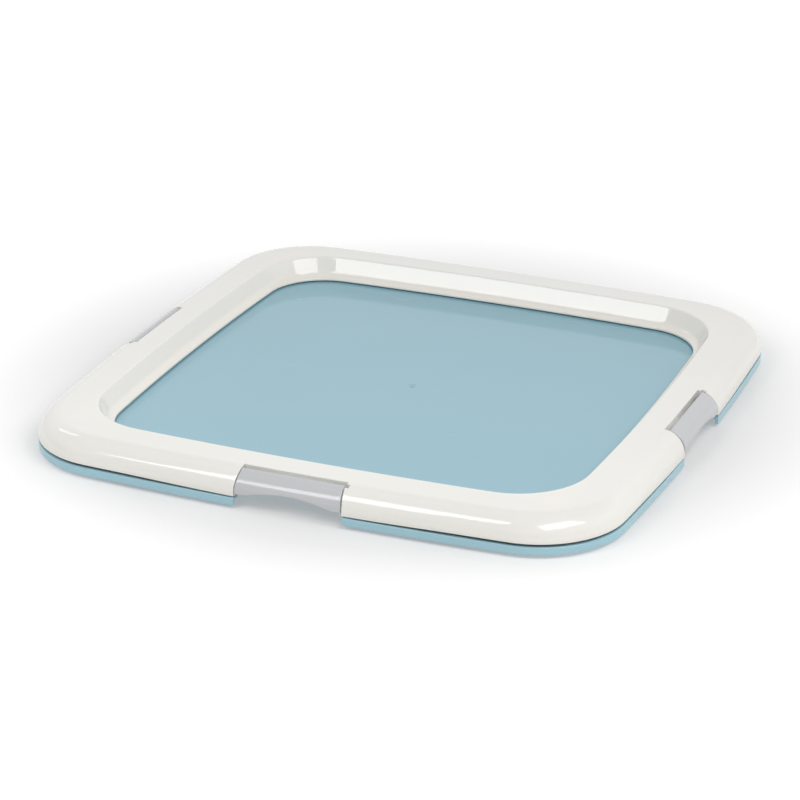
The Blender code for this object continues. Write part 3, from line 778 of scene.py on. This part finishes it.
def make_foot():
    """Rubber foot with a soft lower edge, standing at the origin."""
    h = DROP + FOOT_SEAT - GAP
    profile = [(0.0, h), (FOOT_R - 0.8, h)] + arc_points(FOOT_R - 0.4, h - 0.4, 0.4, 90, 0, 4)
    profile += [(FOOT_R, 3.4), (FOOT_R, 2.4)] + arc_points(FOOT_R - 1.2, 1.2, 1.2, 0, -90, 8)
    profile += [(4.0, 0.0), (3.4, 0.25), (2.4, 0.5), (0.0, 0.55)]
    bm = bmesh.new()
    n = 64
    top = bm.verts.new((0, 0, profile[0][1] * MM))
    end = bm.verts.new((0, 0, profile[-1][1] * MM))
    rows = [[bm.verts.new((r * MM * math.cos(2 * math.pi * j / n), r * MM * math.sin(2 * math.pi * j / n),
                           z * MM)) for j in range(n)] for r, z in profile[1:-1]]
    for j in range(n):
        k = (j + 1) % n
        bm.faces.new((top, rows[0][j], rows[0][k]))
        bm.faces.new((end, rows[-1][k], rows[-1][j]))
    for a, b in zip(rows, rows[1:]):
        for j in range(n):
            k = (j + 1) % n
            bm.faces.new((a[j], b[j], b[k], a[k]))
    ob = new_object("foot", bm)
    ob.data.shade_smooth()
    ob.data.set_sharp_from_angle(angle=math.radians(50))
    return ob


# ------------------------------------------------------------------ materials
def nodes_of(mat):
    mat.use_nodes = True
    nt = mat.node_tree
    return nt, nt.nodes, nt.links, nt.nodes["Principled BSDF"]


def plastic(name, rgb, rough, ior=1.49, tint=0.02, rough_vary=0.04, peel=0.012, scuff=0.3, seed=0.0, painted_light_zones=()):
    """Moulded plastic: slightly uneven colour and gloss, a very faint orange peel, fine scuffs.

    Each zone is (axis, edge, fade, factors): up to that edge the colour is multiplied by those factors. This is painted
    light: the lighter or warmer tone stands in for bounce light and lit shade, not for any change in the moulding. Axis
    Z is the height, R the distance from the middle, square like the frame."""
    mat = bpy.data.materials.new(name)
    nt, nodes, links, bsdf = nodes_of(mat)
    bsdf.inputs["IOR"].default_value = ior
    bsdf.inputs["Metallic"].default_value = 0.0
    coord = nodes.new("ShaderNodeTexCoord")
    place = nodes.new("ShaderNodeMapping")
    place.inputs["Location"].default_value = (seed, seed * 0.37, seed * 0.11)
    links.new(coord.outputs["Object"], place.inputs["Vector"])

    cloud = nodes.new("ShaderNodeTexNoise")
    cloud.inputs["Scale"].default_value = 9.0
    cloud.inputs["Detail"].default_value = 4.0
    cloud.inputs["Roughness"].default_value = 0.55
    links.new(place.outputs["Vector"], cloud.inputs["Vector"])
    ramp = nodes.new("ShaderNodeValToRGB")
    ramp.color_ramp.elements[0].position = 0.3
    ramp.color_ramp.elements[1].position = 0.7
    ramp.color_ramp.elements[0].color = (*[c * (1 - tint) for c in rgb], 1)
    ramp.color_ramp.elements[1].color = (*[min(c * (1 + tint), 1.0) for c in rgb], 1)
    links.new(cloud.outputs["Fac"], ramp.inputs["Fac"])

    # fine scratches: long thin streaks that cross in two directions
    streaks = []
    for turn, sc in ((0.6, 1.0), (-0.9, 1.3)):
        m = nodes.new("ShaderNodeMapping")
        m.inputs["Rotation"].default_value = (0.0, 0.0, turn)
        m.inputs["Scale"].default_value = (14.0 * sc, 420.0 * sc, 60.0)
        links.new(place.outputs["Vector"], m.inputs["Vector"])
        n = nodes.new("ShaderNodeTexNoise")
        n.inputs["Scale"].default_value = 1.0
        n.inputs["Detail"].default_value = 2.0
        links.new(m.outputs["Vector"], n.inputs["Vector"])
        r = nodes.new("ShaderNodeMapRange")
        r.inputs["From Min"].default_value = 0.66
        r.inputs["From Max"].default_value = 0.74
        links.new(n.outputs["Fac"], r.inputs["Value"])
        streaks.append(r)
    both = nodes.new("ShaderNodeMath")
    both.operation = 'MAXIMUM'
    links.new(streaks[0].outputs["Result"], both.inputs[0])
    links.new(streaks[1].outputs["Result"], both.inputs[1])
    patch = nodes.new("ShaderNodeTexNoise")
    patch.inputs["Scale"].default_value = 16.0
    patch.inputs["Detail"].default_value = 3.0
    links.new(place.outputs["Vector"], patch.inputs["Vector"])
    where = nodes.new("ShaderNodeMapRange")
    where.inputs["From Min"].default_value = 0.52
    where.inputs["From Max"].default_value = 0.68
    links.new(patch.outputs["Fac"], where.inputs["Value"])
    worn = nodes.new("ShaderNodeMath")
    worn.operation = 'MULTIPLY'
    links.new(both.outputs[0], worn.inputs[0])
    links.new(where.outputs["Result"], worn.inputs[1])

    gloss = nodes.new("ShaderNodeMapRange")
    gloss.inputs["To Min"].default_value = rough - rough_vary
    gloss.inputs["To Max"].default_value = rough + rough_vary
    links.new(patch.outputs["Fac"], gloss.inputs["Value"])
    total = nodes.new("ShaderNodeMath")
    total.operation = 'MULTIPLY_ADD'
    total.inputs[1].default_value = scuff
    links.new(worn.outputs[0], total.inputs[0])
    links.new(gloss.outputs["Result"], total.inputs[2])
    links.new(total.outputs[0], bsdf.inputs["Roughness"])
    colour = ramp.outputs["Color"]
    # painted light: each zone multiplies the colour to stand in for bounce light and shade
    for axis, edge, width, factors in painted_light_zones:
        place_in = nodes.new("ShaderNodeVectorMath")
        place_in.operation = 'ABSOLUTE'
        links.new(coord.outputs["Object"], place_in.inputs[0])
        split = nodes.new("ShaderNodeSeparateXYZ")
        links.new(place_in.outputs["Vector"], split.inputs["Vector"])
        value = split.outputs["Z"]
        if axis == "R":
            larger = nodes.new("ShaderNodeMath")
            larger.operation = 'MAXIMUM'
            links.new(split.outputs["X"], larger.inputs[0])
            links.new(split.outputs["Y"], larger.inputs[1])
            value = larger.outputs[0]
        fade = nodes.new("ShaderNodeMapRange")
        fade.inputs["From Min"].default_value = edge - width
        fade.inputs["From Max"].default_value = edge + width
        fade.inputs["To Min"].default_value = 1.0
        fade.inputs["To Max"].default_value = 0.0
        links.new(value, fade.inputs["Value"])
        shift = nodes.new("ShaderNodeVectorMath")
        shift.operation = 'MULTIPLY_ADD'
        shift.inputs[1].default_value = [f - 1.0 for f in factors]
        shift.inputs[2].default_value = (1.0, 1.0, 1.0)
        links.new(fade.outputs["Result"], shift.inputs[0])
        through = nodes.new("ShaderNodeVectorMath")
        through.operation = 'MULTIPLY'
        links.new(colour, through.inputs[0])
        links.new(shift.outputs["Vector"], through.inputs[1])
        colour = through.outputs["Vector"]
    links.new(colour, bsdf.inputs["Base Color"])

    skin = nodes.new("ShaderNodeTexNoise")
    skin.inputs["Scale"].default_value = 110.0
    skin.inputs["Detail"].default_value = 2.0
    links.new(place.outputs["Vector"], skin.inputs["Vector"])
    bump = nodes.new("ShaderNodeBump")
    bump.inputs["Strength"].default_value = peel
    bump.inputs["Distance"].default_value = 0.001
    links.new(skin.outputs["Fac"], bump.inputs["Height"])
    links.new(bump.outputs["Normal"], bsdf.inputs["Normal"])
    return mat


def rubber(name, rgb):
    mat = bpy.data.materials.new(name)
    nt, nodes, links, bsdf = nodes_of(mat)
    bsdf.inputs["IOR"].default_value = 1.5
    coord = nodes.new("ShaderNodeTexCoord")
    grain = nodes.new("ShaderNodeTexNoise")
    grain.inputs["Scale"].default_value = 900.0
    grain.inputs["Detail"].default_value = 3.0
    links.new(coord.outputs["Object"], grain.inputs["Vector"])
    dust = nodes.new("ShaderNodeTexNoise")
    dust.inputs["Scale"].default_value = 120.0
    links.new(coord.outputs["Object"], dust.inputs["Vector"])
    ramp = nodes.new("ShaderNodeValToRGB")
    ramp.color_ramp.elements[0].color = (*[c * 0.8 for c in rgb], 1)
    ramp.color_ramp.elements[1].color = (*[c * 1.7 for c in rgb], 1)
    links.new(dust.outputs["Fac"], ramp.inputs["Fac"])
    links.new(ramp.outputs["Color"], bsdf.inputs["Base Color"])
    rough = nodes.new("ShaderNodeMapRange")
    rough.inputs["To Min"].default_value = 0.62
    rough.inputs["To Max"].default_value = 0.85
    links.new(dust.outputs["Fac"], rough.inputs["Value"])
    links.new(rough.outputs["Result"], bsdf.inputs["Roughness"])
    bump = nodes.new("ShaderNodeBump")
    bump.inputs["Strength"].default_value = 0.25
    bump.inputs["Distance"].default_value = 0.0004
    links.new(grain.outputs["Fac"], bump.inputs["Height"])
    links.new(bump.outputs["Normal"], bsdf.inputs["Normal"])
    return mat


# the tray is painted lighter below 10 mm, on its skirt: painted light standing in for light bouncing off the floor
BLUE = plastic("tray_blue_plastic", (0.248, 0.446, 0.528), 0.10, tint=0.012, rough_vary=0.03, peel=0.006,
               scuff=0.25, seed=1.3, painted_light_zones=(("Z", 0.0100, 0.0006, (1.40, 1.25, 1.20)),))
# the frame is painted warmer below 21.5 mm, and lighter and warmer within 201 mm of the middle, on its inner walls:
# painted bounce light
WHITE = plastic("frame_white_plastic", (0.784, 0.776, 0.740), 0.055, tint=0.008, rough_vary=0.015, peel=0.008,
                scuff=0.25, seed=4.1, painted_light_zones=(("Z", 0.0215, 0.0045, (1.010, 0.999, 0.979)),
                                          ("R", 0.2010, 0.0015, (1.024, 1.007, 1.002))))

GREY = plastic("latch_grey_plastic", (0.525, 0.53, 0.545), 0.09, tint=0.015, rough_vary=0.03, peel=0.02,
               scuff=0.2, seed=7.7)
RUBBER = rubber("foot_rubber", (0.060, 0.062, 0.066))


# -------------------------------------------------------------------- pieces
def dress(ob, name, material, body, node):
    ob.name = name
    ob.data.name = name
    ob.data.materials.clear()
    ob.data.materials.append(material)
    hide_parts(node)
    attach(ob, body)
    return ob


dress(make_tray(), "base_tray_moulding", BLUE, "tray", "base_tray")
dress(make_frame(), "top_frame_moulding", WHITE, "frame", "top_frame")

latch_mesh = make_latch()
for k, side in ((0, "front"), (1, "right"), (3, "left")):
    me = latch_mesh.data.copy()
    me.transform(Matrix.Rotation(k * math.pi / 2, 4, 'Z'))
    ob = bpy.data.objects.new("latch", me)
    bpy.context.scene.collection.objects.link(ob)
    dress(ob, "latch_%s_moulding" % side, GREY, side + "_latch", "latch_" + side)
bpy.data.objects.remove(latch_mesh, do_unlink=True)

foot_mesh = make_foot()
for fy, sy in (("front", -1), ("back", 1)):
    for fx, sx in (("left", -1), ("right", 1)):
        me = foot_mesh.data.copy()
        me.transform(Matrix.Translation((sx * FOOT_POS * MM, sy * FOOT_POS * MM, 0.0)))
        ob = bpy.data.objects.new("foot", me)
        bpy.context.scene.collection.objects.link(ob)
        dress(ob, "foot_%s_%s_pad" % (fy, fx), RUBBER, "tray", "foot_%s_%s" % (fy, fx))
bpy.data.objects.remove(foot_mesh, do_unlink=True)


# --------------------------------------------------------- floor, light, view
def make_floor():
    bm = bmesh.new()
    bmesh.ops.create_grid(bm, x_segments=8, y_segments=8, size=30.0)
    ob = new_object("studio_floor", bm)
    mat = bpy.data.materials.new("studio_floor")
    nt, nodes, links, bsdf = nodes_of(mat)
    bsdf.inputs["Base Color"].default_value = (0.56, 0.56, 0.56, 1.0)
    bsdf.inputs["Emission Color"].default_value = (1.0, 1.0, 1.0, 1.0)
    # the floor glows, more with distance, so that it reads evenly white far out; its weaker glow near the holder paints
    # a soft shade around it, added to the real shadow
    spot = nodes.new("ShaderNodeTexCoord")
    away = nodes.new("ShaderNodeVectorMath")
    away.operation = 'LENGTH'
    links.new(spot.outputs["Object"], away.inputs[0])
    glow = nodes.new("ShaderNodeMapRange")
    glow.inputs["From Min"].default_value = 0.27
    glow.inputs["From Max"].default_value = 0.47
    glow.inputs["To Min"].default_value = 0.29
    glow.inputs["To Max"].default_value = 0.72
    links.new(away.outputs["Value"], glow.inputs["Value"])
    links.new(glow.outputs["Result"], bsdf.inputs["Emission Strength"])
    bsdf.inputs["Roughness"].default_value = 0.9
    bsdf.inputs["Specular IOR Level"].default_value = 0.1
    ob.data.materials.append(mat)
    return ob


make_floor()

# a white tent: brightest at mid height behind the holder, darker overhead, low down and in front
world = bpy.data.worlds.new("studio")
bpy.context.scene.world = world
world.use_nodes = True
wt = world.node_tree
sky = wt.nodes["Background"]
direction = wt.nodes.new("ShaderNodeTexCoord")
split = wt.nodes.new("ShaderNodeSeparateXYZ")
wt.links.new(direction.outputs["Generated"], split.inputs["Vector"])


def ramp(axis, a, b, at_a, at_b):
    node = wt.nodes.new("ShaderNodeMapRange")
    node.inputs["From Min"].default_value = a
    node.inputs["From Max"].default_value = b
    node.inputs["To Min"].default_value = at_a
    node.inputs["To Max"].default_value = at_b
    node.interpolation_type = 'SMOOTHSTEP'
    wt.links.new(split.outputs[axis], node.inputs["Value"])
    return node.outputs["Result"]


def times(a, b):
    node = wt.nodes.new("ShaderNodeMath")
    node.operation = 'MULTIPLY'
    wt.links.new(a, node.inputs[0])
    wt.links.new(b, node.inputs[1])
    return node.outputs[0]


level = times(ramp("Z", 0.22, 0.42, 1.02, 1.12), ramp("Z", 0.45, 0.80, 1.0, 0.32))
level = times(level, ramp("Y", -0.80, 0.45, 0.29, 1.0))
sky.inputs["Color"].default_value = (1.0, 1.0, 1.0, 1.0)
wt.links.new(level, sky.inputs["Strength"])


def softbox(name, centre, across, along, radiance):
    """A rectangular softbox whose sides are the vectors across and along, shining to their common normal."""
    across, along = Vector(across), Vector(along)
    x = across.normalized()
    z = x.cross(along).normalized()
    y = z.cross(x)
    light = bpy.data.lights.new(name, 'AREA')
    light.shape = 'RECTANGLE'
    light.size, light.size_y = across.length, along.length
    light.energy = math.pi * radiance * light.size * light.size_y
    ob = bpy.data.objects.new(name, light)
    bpy.context.scene.collection.objects.link(ob)
    turn = Matrix((x, y, z)).transposed().to_4x4()
    turn.translation = Vector(centre)
    ob.matrix_world = turn
    return ob


# a tall softbox above the front left, a strip under it that the back wall mirrors, a wide one on the right
softbox("front_softbox", (-0.400, -0.950, 1.160), (0.590, 0.0, 0.0), (0.0, 0.0, 0.680), 6.1)
softbox("front_low_softbox", (-0.455, -0.950, 0.740), (0.570, 0.0, 0.0), (0.0, 0.0, 0.160), 6.1)
softbox("wide_softbox", (0.745, -0.545, 1.150), (0.270, 0.960, 0.0), (-0.235, 0.066, 0.800), 4.7)
softbox("left_strip_softbox", (-1.300, 0.460, 1.150), (-0.080, -0.230, 0.0), (0.330, 0.090, 0.260), 2.4)

F_PX = 3065.517
YAW, PITCH, ROLL = -0.3913992, 0.4043834, 0.0050539
fwd = Vector((math.sin(YAW) * math.cos(PITCH), math.cos(YAW) * math.cos(PITCH), -math.sin(PITCH)))
right = Vector((math.cos(YAW), -math.sin(YAW), 0.0))
up = right.cross(fwd)
right, up = (right * math.cos(ROLL) + up * math.sin(ROLL), -right * math.sin(ROLL) + up * math.cos(ROLL))
cam_data = bpy.data.cameras.new("camera")
cam_data.sensor_width = 36.0
cam_data.lens = F_PX * 36.0 / 800.0
cam_data.clip_start = 0.1
cam_data.clip_end = 200.0
camera = bpy.data.objects.new("camera", cam_data)
bpy.context.scene.collection.objects.link(camera)
m = Matrix((right, up, -fwd)).transposed().to_4x4()
m.translation = Vector((844.558, -2071.376, 954.482 + DROP)) * MM
camera.matrix_world = m
bpy.context.scene.camera = camera

bpy.context.scene.view_settings.view_transform = 'Standard'

bpy.context.view_layer.update()
